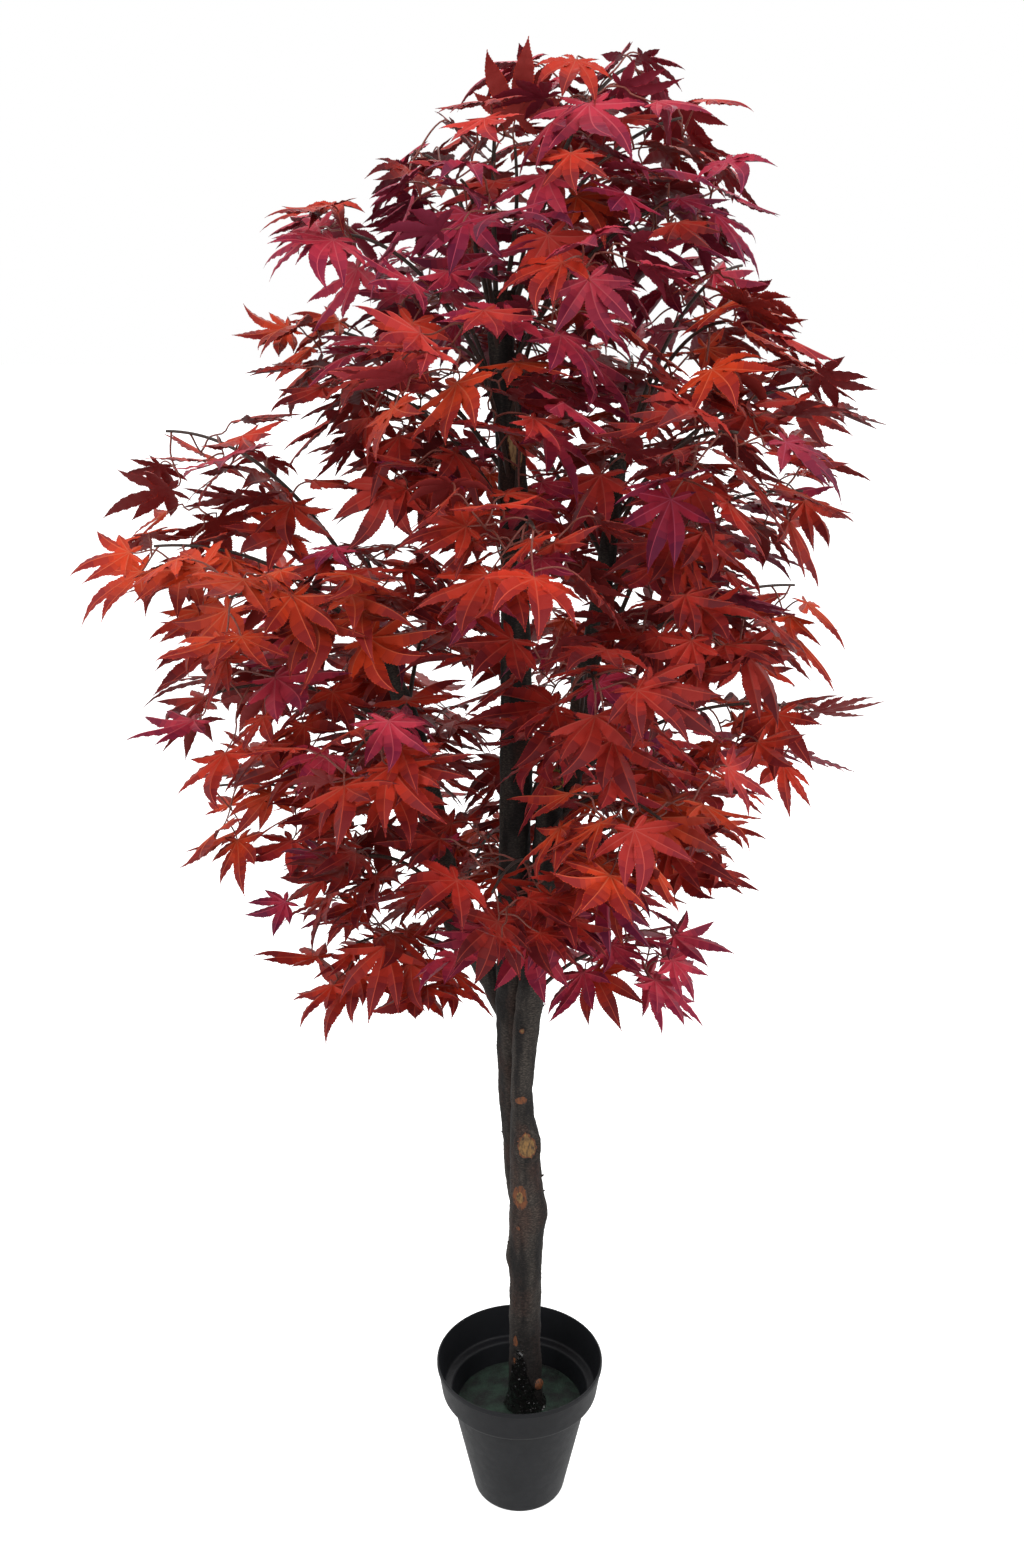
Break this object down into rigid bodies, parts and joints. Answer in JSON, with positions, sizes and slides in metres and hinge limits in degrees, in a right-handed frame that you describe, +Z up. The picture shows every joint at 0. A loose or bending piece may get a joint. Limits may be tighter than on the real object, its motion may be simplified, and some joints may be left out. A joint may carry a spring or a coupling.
{
  "type": "artificial japanese maple tree in a pot",
  "caption": "Artificial Japanese maple tree with slim timber stems and sprays of red lobed fabric leaves, standing in a tapered black plastic nursery pot.",
  "frame": {"origin": "centre of the pot's flat underside, on the floor that the tree stands on", "axes": "+Z straight up through the pot to the crown, -Y towards the front of the tree, +X to its right as seen from the front"},
  "size_m": [0.9038, 0.775, 1.7906],
  "materials": {
    "pot_plastic": "satin moulded charcoal polypropylene",
    "fill": "rough cast filling with a dark green cover",
    "bark": "dry dark grey-brown bark",
    "leaves_scarlet": "matt printed fabric",
    "leaves_crimson": "matt printed fabric",
    "leaves_wine": "matt printed fabric"
  },
  "bodies": {
    "root": {"pot": "pot_plastic", "fill": "fill", "trunk": "bark", "leader": "bark", "left_bough": "bark", "right_bough": "bark", "foliage_top": "leaves_scarlet", "foliage_left_1": "leaves_crimson", "foliage_left_2": "leaves_wine", "foliage_left_3": "leaves_scarlet", "foliage_left_4": "leaves_crimson", "foliage_left_5": "leaves_wine", "foliage_left_6": "leaves_scarlet", "foliage_left_7": "leaves_crimson", "foliage_left_8": "leaves_wine", "foliage_left_9": "leaves_scarlet", "foliage_left_10": "leaves_crimson", "foliage_left_11": "leaves_wine", "foliage_left_12": "leaves_scarlet", "foliage_right_1": "leaves_crimson", "foliage_right_2": "leaves_wine", "foliage_right_3": "leaves_scarlet", "foliage_right_4": "leaves_crimson", "foliage_right_5": "leaves_wine", "foliage_right_6": "leaves_scarlet", "foliage_right_7": "leaves_crimson", "foliage_right_8": "leaves_wine", "foliage_right_9": "leaves_scarlet", "foliage_right_10": "leaves_crimson", "foliage_right_11": "leaves_wine", "foliage_right_12": "leaves_scarlet", "foliage_right_13": "leaves_crimson", "foliage_front_1": "leaves_wine", "foliage_front_2": "leaves_scarlet", "foliage_front_3": "leaves_crimson", "foliage_front_4": "leaves_wine", "foliage_front_5": "leaves_scarlet", "foliage_front_6": "leaves_crimson", "foliage_front_7": "leaves_wine", "foliage_front_8": "leaves_scarlet", "foliage_front_9": "leaves_crimson", "foliage_front_10": "leaves_wine", "foliage_back_1": "leaves_scarlet", "foliage_back_2": "leaves_crimson", "foliage_back_3": "leaves_wine", "foliage_back_4": "leaves_scarlet", "foliage_back_5": "leaves_crimson", "foliage_back_6": "leaves_wine", "foliage_back_7": "leaves_scarlet", "foliage_back_8": "leaves_crimson", "foliage_back_9": "leaves_wine", "foliage_back_10": "leaves_scarlet", "foliage_inner_1": "leaves_crimson", "foliage_inner_2": "leaves_wine", "foliage_inner_3": "leaves_scarlet", "foliage_inner_4": "leaves_crimson", "foliage_inner_5": "leaves_wine", "foliage_inner_6": "leaves_scarlet", "foliage_inner_7": "leaves_crimson", "foliage_inner_8": "leaves_wine"}
  },
  "joints": []
}
